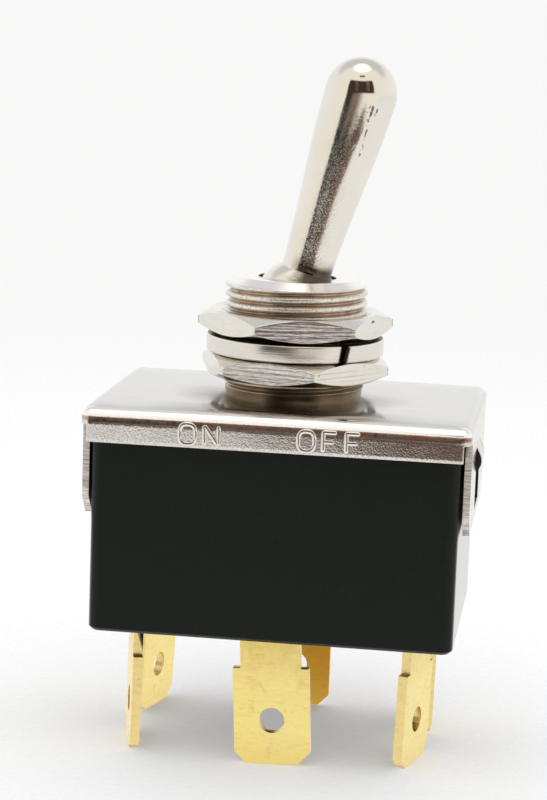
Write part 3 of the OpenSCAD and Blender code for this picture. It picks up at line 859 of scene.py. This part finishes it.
# ================================================================ nuts
def nut(name, z, turn, body, seed):
    rng = np.random.default_rng(seed)
    half = []                                   # angles within one sixth, denser at the corner
    a = 30 * (1 - (1 - np.linspace(0, 1, 19))**1.6)
    half = np.concatenate([-a[::-1][:-1], a])   # -30..30 about a corner at 0
    th = np.concatenate([np.radians(60 * k + half[:-1]) for k in range(6)])
    nc = len(th)
    ang = np.degrees(th) % 60
    ang = np.where(ang > 30, ang - 60, ang)      # angle from the nearest corner
    # flat-sided radius with a slightly broken corner
    hexr = AF2 / np.cos(np.radians(30 - np.abs(ang)))
    hexr = np.minimum(hexr, AF2 / math.cos(PI / 6) - 0.02)
    zc = NUT_T / 2
    r_face, r_mid = AF2 - 0.15, AF2 / math.cos(PI / 6) + 0.55
    slope = (r_mid - r_face) / zc
    zt = np.clip(NUT_T - (hexr - r_face) / slope, zc + 0.02, NUT_T)      # where the cone meets the side
    bore = THREAD_R + 0.06
    rows, mats = [], []

    def row(r, zz, mi):
        rows.append((np.broadcast_to(r, (nc,)).astype(float), np.broadcast_to(zz, (nc,)).astype(float)))
        mats.append(mi)

    # top half: bore chamfer, face, edge, cone, edge, side
    row(bore, zc, 0)
    row(bore, NUT_T - 0.42, 0)
    row(bore + 0.03, NUT_T - 0.36, 0)
    row(bore + 0.30, NUT_T - 0.04, 0)
    row(bore + 0.36, NUT_T, 0)
    row(r_face - 0.12, NUT_T, 0)
    row(r_face - 0.05, NUT_T - 0.006, 0)
    row(r_face + 0.02, NUT_T - 0.03, 0)
    for k in (0.12, 0.3, 0.5, 0.7, 0.88):
        row(r_face + (hexr - r_face) * k, NUT_T - (NUT_T - zt) * k, 0)
    row(hexr - 0.030, zt + 0.030 / slope + 0.0, 0)
    row(hexr - 0.008, zt - 0.004, 0)
    side = 18
    zside_top = zt - 0.028
    zside_bot = NUT_T - zt + 0.028
    ridge = np.cumsum(rng.normal(0, 1, side + 1))
    ridge -= np.linspace(ridge[0], ridge[-1], side + 1)
    ridge = ridge / (np.abs(ridge).max() + 1e-9)
    zz0 = np.linspace(1, 0, side + 1)
    wob = [rng.uniform(0, 2 * PI) for _ in range(6)]
    for k in range(side + 1):
        zz = zside_bot + (zside_top - zside_bot) * zz0[k]
        edge = min(1.0, 4 * min(zz0[k], 1 - zz0[k]))
        # cutter ridges, nearly level, a few hundredths deep, fading out at the corners
        zabs = zz / NUT_T
        rid = 0.014 * np.sin(zabs * 31 + 0.4 * np.sin(3 * th + wob[0]) + wob[1]) + 0.010 * np.sin(zabs * 53 + 0.6 * np.sin(5 * th + wob[2]) + wob[3]) \
            + 0.008 * np.sin(zabs * 97 + 0.8 * np.sin(7 * th + wob[4]) + wob[5])
        fade = np.clip(np.abs(ang) / 5.0, 0, 1)
        row(hexr - (0.012 + 0.55 * rid) * edge * fade, zz, 1)
    n_top = len(rows)
    # mirror of the top half's upper rows
    for r, zz in rows[:n_top - side - 1][::-1]:
        row(r, NUT_T - zz, 0)
    R = np.array([r for r, _ in rows])
    Z = np.array([q for _, q in rows]) + z
    V = np.stack([R * np.cos(th + math.radians(turn)), R * np.sin(th + math.radians(turn)), Z], -1).reshape(-1, 3)
    nr = len(rows)
    F = quads(nr, nc, close_r=True)
    fm = []
    for i in range(nr):
        fm += [1 if (mats[i] == 1 and mats[(i + 1) % nr] == 1) else 0] * nc
    o = new_object(name, V, F, [M["nut"], M["milled"], M["milled_dark" if body == "upper_nut" else "milled"], M["grimy"]], fm)
    face = Vector((math.sin(math.radians(turn)), -math.cos(math.radians(turn)), 0))
    # the nuts' undersides get painted shade
    for p in o.data.polygons:
        if p.material_index == 1:
            p.material_index = 2 if p.normal.dot(face) > 0.9 else 0
        elif p.normal.z < -0.9 and p.center.z * 1000 < z + 0.3:
            p.material_index = 3
    return o


# ================================================================ lock washer
def lock_washer():
    gap = 0.36 / 6.7                          # half the slit, radians
    a0 = math.radians(-50) + gap
    a1 = math.radians(-50) + 2 * PI - gap
    sec = fillet([(THREAD_R + 0.12, 0), (7.43, 0), (7.43, WASH_T + 0.10), (THREAD_R + 0.12, WASH_T + 0.10)], 0.13, 4)
    n = 180
    V = []
    for k in range(n + 1):
        t = a0 + (a1 - a0) * k / n
        dz = 0.04 * (k / n)
        for r, z in sec:
            # the slit runs on a slant
            sl = (z - WASH_T / 2) * math.tan(math.radians(10)) / r
            w = max(0.0, 1 - k / 6.0) + max(0.0, 1 - (n - k) / 6.0)
            tt = t + sl * min(1.0, w)
            V.append((r * math.cos(tt), r * math.sin(tt), WASH_Z + z + dz))
    ns = len(sec)
    F = quads(n + 1, ns)
    for base in (0, n * ns):
        c = len(V)
        V.append(tuple(np.mean(V[base:base + ns], axis=0)))
        F += [(c, base + j, base + (j + 1) % ns) for j in range(ns)]
    o = new_object("lock_washer_split", V, F, [M["washer"], M["grimy"]])
    # the top face under the upper nut and the slit's end faces get painted shade
    for p in o.data.polygons:
        c = p.center
        ends = abs(math.atan2(c.y, c.x) - math.radians(-50)) < 1.25 * gap + 0.012 and abs(p.normal.z) < 0.9 and \
            abs(p.normal.dot(Vector((c.x, c.y, 0)).normalized())) < 0.5
        if p.normal.z > 0.9 or ends:
            p.material_index = 1
    return stands_for(o, "lock_washer", "nickel_bright", "lock_washer")


# ================================================================ springs
def spring(node, j):
    n = 4
    r, w = 0.92, 0.15
    z0, z1 = 0.16, 1.84
    pts = []
    N = 220
    for k in range(N + 1):
        u = k / N
        t = 2 * PI * n * u
        # closed and ground end coils
        e = np.clip((u - 0.08) / 0.84, 0, 1)
        pts.append((r * math.cos(t), r * math.sin(t), z0 + (z1 - z0) * e))
    M4 = LEVER @ Matrix.Translation((0, j * 4.7, -16.8 + 2.93))
    P = [tuple(M4 @ Vector(p)) for p in pts]
    V, F = tube(P, w, 12)
    o = new_object(node + "_coil", V, F, [M["steel"]], weighted=False)
    # the coil shortens between the carrier and the plunger as the plunger is pushed in
    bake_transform(o, "lever_assembly", node.replace("spring", "plunger"),
             tuple(S * (M4 @ Vector((0, 0, 1.9)))), tuple(S * (M4 @ Vector((0, 0, 0.1)))))
    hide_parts(node)
    return o


# ================================================================ cover
def cover():
    rb, rc = 0.9, 0.92
    a, b = CX, CY
    cxs, cys = a - rc, b - rc
    xs = np.linspace(-cxs, cxs, 41)
    ys = np.array([-cys, -10.0, -8.6, -6.6, -4.6, -2.6, -2.3, -1.15, 0, 1.15, 2.3, 2.6, 4.4, 6.2, 8.0, 9.0, 10.0, cys])
    arcs = np.radians([0, 10, 20, 30, 42, 54, 66, 78, 90])
    samples = []                                   # (kind, value, outward angle)
    for x in xs:
        samples.append(("F", x))
    for t in arcs[1:-1]:
        samples.append(("C", (cxs, -cys, -PI / 2 + t)))
    for y in ys:
        samples.append(("R", y))
    for t in arcs[1:-1]:
        samples.append(("C", (cxs, cys, t)))
    for x in xs[::-1]:
        samples.append(("B", x))
    for t in arcs[1:-1]:
        samples.append(("C", (-cxs, cys, PI / 2 + t)))
    for y in ys[::-1]:
        samples.append(("L", y))
    for t in arcs[1:-1]:
        samples.append(("C", (-cxs, -cys, PI + t)))
    n = len(samples)

    def place(k, o):
        kind, v = samples[k]
        if kind == "F":
            return (v, -b - o)
        if kind == "B":
            return (v, b + o)
        if kind == "R":
            return (a + o, v)
        if kind == "L":
            return (-a - o, v)
        cx_, cy_, t = v
        return (cx_ + (rc + o) * math.cos(t), cy_ + (rc + o) * math.sin(t))

    A0 = math.radians(16)                          # slope already reached where the front and back bends start

    def dish(x, y):
        # the top is slightly crowned, rolls off towards the front and back edges and is drawn up against the bushing
        roll = 0.12 * (min(3.85, max(0.0, abs(y) - 6.8)) / 3.85)**2
        roll += 0.5 * (math.tan(A0) - 0.0623) / 1.3 * min(1.3, max(0.0, abs(y) - 9.35))**2
        return 0.20 - roll - 0.05 * (abs(x) / a)**4 + 0.30 * math.exp(-(math.hypot(x, y) - 5.4) / 2.4)

    V, F = [], []
    rows = []
    inner = [place(k, -rb) for k in range(n)]
    for t in np.concatenate([np.linspace(0, 0.82, 22)**1.5, np.linspace(0.742, 1, 9)[1:]]):
        row = []
        for x, y in inner:
            ang = math.atan2(y, x)
            px, py = (1 - t) * 5.0 * math.cos(ang) + t * x, (1 - t) * 5.0 * math.sin(ang) + t * y
            row.append((px, py, COVER_Z + dish(px, py)))
        rows.append(row)
    for ph in np.radians(np.linspace(0, 90, 10))[1:]:
        row = []
        for k in range(n):
            kind, v = samples[k]
            f = 1.0 if kind in "FB" else 0.0 if kind in "RL" else math.sin(v[2])**2
            aa = A0 * f
            A = aa + (PI / 2 - aa) * ph / (PI / 2)
            R = rb / (1 - math.sin(aa))
            x, y = place(k, -rb + rb * (math.sin(A) - math.sin(aa)) / (1 - math.sin(aa)))
            row.append((x, y, COVER_Z + dish(*inner[k]) * (1 - (1 - f) * math.sin(ph)**2) - R * (math.cos(aa) - math.cos(A))))
        rows.append(row)
    top = 28.10
    rows.append([(x, y, top) for x, y, _ in rows[-1]])
    for r in rows:
        V += r
    F += quads(len(rows), n)

    def patch(idx, zrows):
        """Skirt patch hanging from the collar: idx are perimeter samples, zrows(k) the heights for each."""
        off = len(V)
        cols = [(place(k, 0), zrows(k)) for k in idx]
        m = len(cols[0][1])
        for r in range(m):
            for (x, y), zz in cols:
                V.append((x, y, zz[r]))
        F.extend(quads(m, len(cols), close_c=False, off=off))

    nf, nr_, na = len(xs), len(ys), len(arcs) - 2
    bottom = COVER_Z - 2.8
    # front flange wraps a little way round each corner
    front = list(range(n - 2, n)) + list(range(0, nf)) + list(range(nf, nf + 2))
    patch(front, lambda k: list(np.linspace(top, bottom, 6)))
    b0 = nf + na + nr_ + na
    back = list(range(b0 - 2, b0 + nf + 2))
    patch(back, lambda k: list(np.linspace(top, bottom, 6)))
    # ears
    zt = COVER_Z - 9.2
    marks = [top, 27.8, 27.1, 26.4, 25.1, 23.8, 22.5, 21.2, zt]

    def ear_rows(y):
        if y < -8.6:
            low = zt + (21.9 - zt) * (-8.6 - y) / 1.4
        elif y > 8.0:
            low = zt + (22.5 - zt) * (y - 8.0) / 2.0
        else:
            low = zt
        return [z if z >= 26.4 else 26.4 + (z - 26.4) * (low - 26.4) / (zt - 26.4) for z in marks]

    tongues = []
    for start, order in ((nf + na, ys), (b0 + nf + na, ys[::-1])):
        cols = [k for k in range(len(order)) if abs(order[k]) <= 10.001]
        idx = [start + k for k in cols]
        off = len(V)
        m = len(marks)
        zz = [ear_rows(order[k]) for k in cols]
        for r in range(m):
            for c_, k in enumerate(idx):
                x, y = place(k, 0)
                V.append((x, y, zz[c_][r]))
        nc = len(idx)
        for r in range(m - 1):
            for c_ in range(nc - 1):
                ym = (order[cols[c_]] + order[cols[c_ + 1]]) / 2
                zm = (zz[c_][r] + zz[c_][r + 1]) / 2
                if abs(ym) < 2.6 and 21.2 < zm < 26.4:
                    continue
                F.append((off + r * nc + c_, off + r * nc + c_ + 1, off + (r + 1) * nc + c_ + 1, off + (r + 1) * nc + c_))
        # tongue bowed out of the window, then in to its pocket in the case
        sgn = 1 if start == nf + na else -1
        path = [(15.8, 26.4), (15.91, 26.16), (16.07, 25.86), (16.18, 25.55), (16.22, 25.25), (16.19, 24.95), (16.06, 24.66),
                (15.84, 24.38), (15.58, 24.12), (15.30, 23.86), (15.05, 23.6)]
        ty = [y for y in order if abs(y) <= 2.301]
        off = len(V)
        for x, z in path:
            for y in ty:
                V.append((sgn * x, y, z))
        tongues += range(len(F), len(F) + (len(path) - 1) * (len(ty) - 1))
        F.extend(quads(len(path), len(ty), close_c=False, off=off))
    F = [f[::-1] for f in F]
    o = new_object("cover_bent_sheet", V, F, [M["sheet"], M["edge"], M["sheet"], M["soot"]], weighted=False, recalc=False)
    # the tongues' sheared sides get near-black painted shade
    for k in tongues:                              # the tongues' sheared sides are dark
        o.data.polygons[k].material_index = 2
    so = o.modifiers.new("thickness", "SOLIDIFY")
    so.thickness = SHEET * S
    so.offset = -1
    so.use_even_offset = True
    so.use_quality_normals = True
    so.material_offset_rim = 1
    be = o.modifiers.new("broken_edges", "BEVEL")
    be.width = 0.07 * S
    be.segments = 2
    be.limit_method = "ANGLE"
    be.angle_limit = math.radians(50)
    be.material = -1
    w = o.modifiers.new("normals", "WEIGHTED_NORMAL")
    w.mode = "FACE_AREA"
    w.keep_sharp = False
    return stands_for(o, "housing", "nickel_sheet", "cover_frame")


# ================================================================ raised letters on the flange
def stroke_mesh(name, strokes, y0, half=0.19, proud=0.14, sink=0.26):
    """Raised rounded strokes standing out of the front flange. strokes: lists of (x, z) points."""
    V, F = [], []
    for pts in strokes:
        P = np.array(pts, float)
        seg = np.linalg.norm(np.diff(P, axis=0), axis=1)
        L = np.concatenate([[0], np.cumsum(seg)])
        n = max(6, int(L[-1] / 0.07))
        closed = np.allclose(P[0], P[-1])
        ends = [] if closed else [half * (1 - math.cos(math.radians(a))) for a in (0, 25, 50, 75)]
        ss = sorted(set([round(float(s), 5) for s in np.linspace(0, L[-1], n + 1)] + [round(e, 5) for e in ends] + [round(L[-1] - e, 5) for e in ends]))
        X = np.interp(ss, L, P[:, 0]); Z = np.interp(ss, L, P[:, 1])
        T = np.gradient(np.stack([X, Z], -1), axis=0)
        if closed:
            ss, X, Z, T = ss[:-1], X[:-1], Z[:-1], T[:-1]
            Q = np.stack([X, Z], -1)
            T = np.roll(Q, -1, 0) - np.roll(Q, 1, 0)
        T /= np.linalg.norm(T, axis=1)[:, None] + 1e-12
        N = np.stack([-T[:, 1], T[:, 0]], -1)
        off = len(V)
        angs = np.radians(np.linspace(-0, 180, 9))
        ns = len(angs) + 2
        for k, s in enumerate(ss):
            e = 1.0 if closed else min(1.0, math.sqrt(max(0.02, 1 - max(0.0, (half - min(s, L[-1] - s)) / half)**2)))
            sec = [(-half * e, sink)] + [(-half * e * math.cos(a), -proud * (e * 0.5 + 0.5) * math.sin(a)**0.8 if math.sin(a) > 0 else 0.0) for a in angs] + [(half * e, sink)]
            for u, d in sec:
                V.append((X[k] + N[k][0] * u, y0 + d, Z[k] + N[k][1] * u))
        m = len(ss)
        F += quads(m, ns, close_r=closed, close_c=True, off=off)
        if not closed:
            F.append(tuple(off + q for q in range(ns)))
            F.append(tuple(off + (m - 1) * ns + q for q in range(ns))[::-1])
    return new_object(name, V, F, [M["mark"]], weighted=False)


def letters():
    h, w = 1.62, 1.30
    z0 = 26.98

    def O(x):
        pts = []
        for k in range(49):
            a = 2 * PI * k / 48
            ca, sa = math.cos(a), math.sin(a)
            e = 0.72
            pts.append((x + w / 2 + (w / 2) * abs(ca)**e * (1 if ca >= 0 else -1), z0 + h / 2 + (h / 2) * abs(sa)**e * (1 if sa >= 0 else -1)))
        pts[-1] = pts[0]
        return [pts]

    def N_(x):
        return [[(x, z0), (x, z0 + h)], [(x, z0 + h), (x + w * 0.9, z0)], [(x + w * 0.9, z0), (x + w * 0.9, z0 + h)]]

    def F_(x):
        return [[(x, z0), (x, z0 + h), (x + w * 0.85, z0 + h)], [(x, z0 + h * 0.52), (x + w * 0.7, z0 + h * 0.52)]]

    on = O(-7.6) + N_(-5.6)
    off = O(2.0) + F_(4.0) + F_(5.85)
    for name, st in (("mark_on", on), ("mark_off", off)):
        o = stroke_mesh(name, st, -CY)
        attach(o, "housing")


# ================================================================ build
bushing()
lever()
stands_for(nut("upper_nut_hex", UP_Z, 13.5, "upper_nut", 5), "upper_nut", "nickel_nut", "upper_nut")
stands_for(nut("lower_nut_hex", LOW_Z, -11, "housing", 9), "housing", "nickel_nut", "lower_nut")
lock_washer()
spring("spring_front", -1)
spring("spring_back", 1)
letters()

refined("base_body", [M["phenolic"]], 0.12, 3, angle=40)
cover()
for n in ("terminal_centre_front", "terminal_centre_back", "terminal_front_left", "terminal_front_right",
          "terminal_back_left", "terminal_back_right"):
    o = refined(n, [M["blade_dull" if n == "terminal_centre_back" else "blade"], M["blade_edge"]], 0.07, 2)
    i_, j_ = (-1 if "left" in n else 1), (-1 if "front" in n else 1)
    flat = Vector((0, 1, 0)) if "centre" in n else Vector((math.cos(math.radians(15 * i_ * j_)), math.sin(math.radians(15 * i_ * j_)), 0))
    for p in o.data.polygons:
        p.material_index = 1 if abs(p.normal.dot(flat)) < 0.5 and p.center.z < 0.0115 else 0
refined("bushing_washer", [M["turned"]], 0.06, 2)
refined("retainer_ring", [M["brass_plain"]], 0.08, 2)
refined("insulating_sheet", [M["fibre"]], 0.03, 1)
refined("pivot_pin", [M["steel"]], 0.06, 2)
refined("plunger_carrier", [M["nylon"]], 0.12, 2)
for n in ("plunger_front", "plunger_back"):
    refined(n, [M["steel"]], 0.08, 2)
for n in ("rocker_front", "rocker_back"):
    refined(n, [M["brass_plain"]], 0.05, 2)
for n in ("rocker_contacts_front", "rocker_contacts_back", "fixed_contacts_front", "fixed_contacts_back"):
    refined(n, [M["silver"]], 0.06, 2)


# ================================================================ stage, camera, light
def camera():
    C = Vector((24.401, -193.077, 62.112)) * S
    a, e, r = math.radians(7.686), math.radians(9.647), math.radians(2.045)
    back = Vector((math.sin(a) * math.cos(e), -math.cos(a) * math.cos(e), math.sin(e)))
    Rv = Vector((math.cos(a), math.sin(a), 0))
    Uv = back.cross(Rv)
    right = math.cos(r) * Rv + math.sin(r) * Uv
    up = -math.sin(r) * Rv + math.cos(r) * Uv
    cam = bpy.data.objects.new("camera", bpy.data.cameras.new("camera"))
    bpy.context.scene.collection.objects.link(cam)
    m = Matrix.Identity(4)
    for k in range(3):
        m[k][0], m[k][1], m[k][2], m[k][3] = right[k], up[k], back[k], C[k]
    cam.matrix_world = m
    cam.data.sensor_width = 36
    cam.data.sensor_fit = "AUTO"
    cam.data.lens = 2338.1 / 800 * 36
    cam.data.clip_start = 0.005
    cam.data.clip_end = 50
    bpy.context.scene.camera = cam


camera()

floor_m = Mat("floor_paper")
floor_m.set(Base_Color=floor_m.mix(floor_m.noise(1500, 2, 0.7), (0.675, 0.675, 0.672), (0.795, 0.795, 0.793)), Roughness=1.0)
floor_m.b.inputs["Specular IOR Level"].default_value = 0.0
# the floor glows more close round the object: a painted pool of light that lightens the shadow under it
spread = floor_m.node("ShaderNodeVectorMath", {0: floor_m.co}, operation="LENGTH").outputs[1]
floor_m.set(Emission_Color=floor_m.mix(floor_m.maprange(spread, 0.26, 0.05, 0.0, 1.0), (0.575, 0.575, 0.582), (0.958, 0.968, 1.0)))
floor_m.b.inputs["Emission Strength"].default_value = 0.246
paper_m = Mat("paper_seen_in_metal")
paper_m.set(Base_Color=paper_m.mix(paper_m.noise(30, 2), (0.65, 0.65, 0.645), (0.67, 0.67, 0.665)), Roughness=1.0)
paper_m.b.inputs["Specular IOR Level"].default_value = 0.0
paper_m.b.inputs["Emission Color"].default_value = (1, 0.985, 0.96, 1)
paper_m.b.inputs["Emission Strength"].default_value = 0.40


def sheet_of(name, pts, mat_, glossy_only):
    me = bpy.data.meshes.new(name)
    me.from_pydata([(x * S, y * S, z * S) for x, y, z in pts], [], [tuple(range(len(pts)))])
    me.materials.append(mat_.m)
    o = bpy.data.objects.new(name, me)
    bpy.context.scene.collection.objects.link(o)
    o.visible_glossy = glossy_only
    if glossy_only:
        o.visible_camera = o.visible_diffuse = o.visible_shadow = o.visible_transmission = False
    return o


sheet_of("floor", [(40000 * math.cos(t), 40000 * math.sin(t), 0) for t in np.radians(np.arange(0, 360, 5))], floor_m, False)
# what the metal sees of the floor: the paper, which ends in front of the object on a slant
sheet_of("floor_reflector", [(900, -104, 0), (900, 900, 0), (-900, 900, 0), (-900, -1000, 0), (-165, -200, 0), (-60, -198, 0),
                             (-22, -165, 0), (0, -128, 0), (20, -110, 0), (110, -104, 0)][::-1], paper_m, True)


def table_card():
    """The dark table top beyond the paper, which only the metal sees: deep brown on the right, near black on the left."""
    m = Mat("table_brown")
    n = m.noise(9, 3, 0.6)
    x = m.math("ADD", m.sep()[0], m.math("MULTIPLY", m.math("SUBTRACT", n, 0.5), 0.02))
    far = m.math("MAXIMUM", m.maprange(x, -0.090, -0.010, 1.0, 0.0), m.maprange(m.sep()[1], -0.150, -0.180, 0.0, 1.0))
    col = m.mix(far, (0.17, 0.095, 0.072), (0.075, 0.066, 0.056))
    m.set(Base_Color=(0.0, 0.0, 0.0, 1), Roughness=1.0, Emission_Color=col)
    m.b.inputs["Specular IOR Level"].default_value = 0.0
    m.b.inputs["Emission Strength"].default_value = 1.0
    sheet_of("table_beyond", [(105, -103, 0.4), (20, -109, 0.4), (0, -127, 0.4), (-22, -164, 0.4), (-60, -197, 0.4), (-165, -199, 0.4),
                              (-340, -400, 0.4), (-150, -420, 0.4), (-20, -420, 0.4), (15, -235, 0.4), (105, -205, 0.4)], m, True)


table_card()


def world():
    """Light tent: white all round, brighter overhead, with a dark slit on the front side where the camera looks in."""
    w = bpy.data.worlds.new("tent")
    bpy.context.scene.world = w
    w.use_nodes = True
    t = w.node_tree
    t.nodes.clear()
    out = t.nodes.new("ShaderNodeOutputWorld")
    bg = t.nodes.new("ShaderNodeBackground")
    t.links.new(bg.outputs[0], out.inputs[0])

    def put(sock, v):
        if isinstance(v, bpy.types.NodeSocket):
            t.links.new(v, sock)
        elif isinstance(v, (int, float)):
            sock.default_value = v
        else:
            sock.default_value = (*v, 1) if len(v) == 3 and sock.type == "RGBA" else v

    def mth(op, a, b=0.0):
        n = t.nodes.new("ShaderNodeMath")
        n.operation = op
        put(n.inputs[0], a)
        put(n.inputs[1], b)
        return n.outputs[0]

    def step(v, e0, e1):
        n = t.nodes.new("ShaderNodeMapRange")
        n.interpolation_type = "SMOOTHSTEP"
        put(n.inputs[0], v)
        lo, hi = (e0, e1) if e0 < e1 else (e1, e0)
        n.inputs[1].default_value = lo
        n.inputs[2].default_value = hi
        n.inputs[3].default_value = 0.0 if e0 < e1 else 1.0
        n.inputs[4].default_value = 1.0 if e0 < e1 else 0.0
        return n.outputs[0]

    def mix(f, a, b):
        n = t.nodes.new("ShaderNodeMix")
        n.data_type = "RGBA"
        put(n.inputs[0], f)
        put(n.inputs[6], a)
        put(n.inputs[7], b)
        return n.outputs[2]

    tc = t.nodes.new("ShaderNodeTexCoord")
    sp = t.nodes.new("ShaderNodeSeparateXYZ")
    t.links.new(tc.outputs["Generated"], sp.inputs[0])
    dx, dy, dz = sp.outputs
    az = mth("MULTIPLY", mth("ARCTAN2", dx, mth("MULTIPLY", dy, -1.0)), 180 / PI)
    el = mth("MULTIPLY", mth("ARCSINE", dz), 180 / PI)

    def patch(a0, a1, sl, sr, e0, e1, sb, st):
        m = mth("MULTIPLY", step(az, a0 - sl, a0 + sl), step(az, a1 + sr, a1 - sr))
        return mth("MULTIPLY", m, mth("MULTIPLY", step(el, e0 - sb, e0 + sb), step(el, e1 + st, e1 - st)))

    col = mix(step(dy, 0.45, -0.35), (0.98, 0.98, 0.98), (0.985, 0.945, 0.865))
    # grey roof behind, bright roof overhead
    col = mix(mth("MULTIPLY", step(dy, -0.05, 0.30), mth("MULTIPLY", step(el, 28, 45), step(el, 84, 76))), col, (0.70, 0.70, 0.715))
    col = mix(step(el, 66, 76), col, (1.45, 1.45, 1.43))
    # slit: brown on its right, near black on its left, with a wider dark head
    col = mix(patch(-38, 8, 3, 12, -50, 40, 8, 4), col, (0.26, 0.19, 0.15))
    col = mix(patch(-38, -19, 2.5, 8, -50, 40, 8, 3), col, (0.040, 0.044, 0.034))
    col = mix(patch(-34, 48, 3, 3, 3, 41, 3, 2.5), col, (0.050, 0.040, 0.030))
    col = mix(patch(-4, 22, 2, 2, 54, 60, 1.5, 1.5), col, (0.06, 0.05, 0.04))
    lp = t.nodes.new("ShaderNodeLightPath")
    col = mix(lp.outputs["Is Diffuse Ray"], col, mix(step(el, 5, 80), (0.84, 0.84, 0.84), (1.30, 1.30, 1.30)))
    col = mix(lp.outputs["Is Camera Ray"], col, (0.94, 0.94, 0.94))
    t.links.new(col, bg.inputs[0])
    bg.inputs[1].default_value = 1.0


world()

vs = bpy.context.scene.view_settings
vs.view_transform = "Standard"
vs.look = "None"
vs.exposure = 0.0
vs.gamma = 1.0
